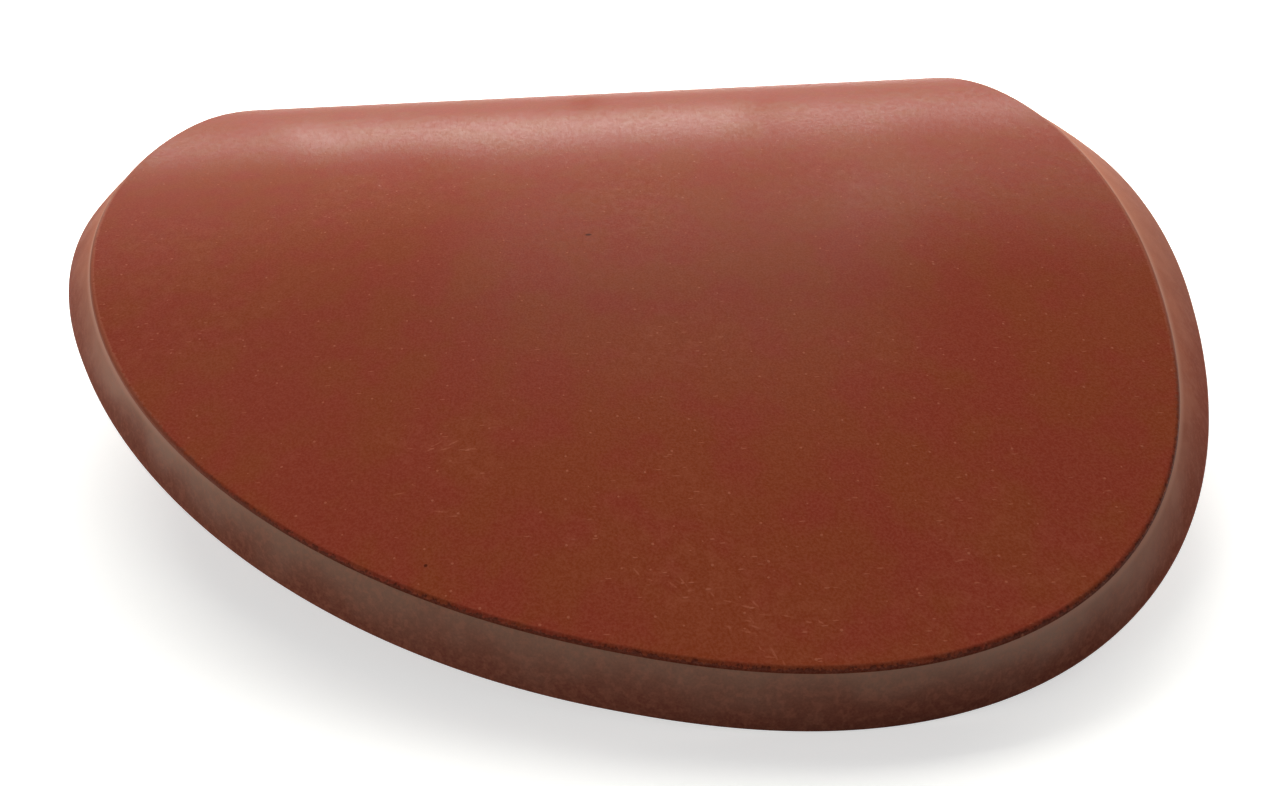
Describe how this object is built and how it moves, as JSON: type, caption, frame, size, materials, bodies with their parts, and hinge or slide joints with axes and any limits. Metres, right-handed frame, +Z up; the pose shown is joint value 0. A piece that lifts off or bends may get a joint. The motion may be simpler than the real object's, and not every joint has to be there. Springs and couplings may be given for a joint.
{
  "type": "rubber ridge tile",
  "caption": "Moulded rubber ridge tile: a rounded sheet bent over a soft crest, with a curved rim all round, laid over a roof ridge.",
  "frame": {"origin": "on the ground plane, below the middle of the crest", "axes": "+X along the ridge toward the wider end, +Y across the ridge, +Z up"},
  "size_m": [0.4, 0.5258, 0.0818],
  "materials": {
    "rubber": "satin, fine pebbled grain, red-brown"
  },
  "bodies": {
    "root": {"ridge_tile": "rubber"}
  },
  "joints": []
}
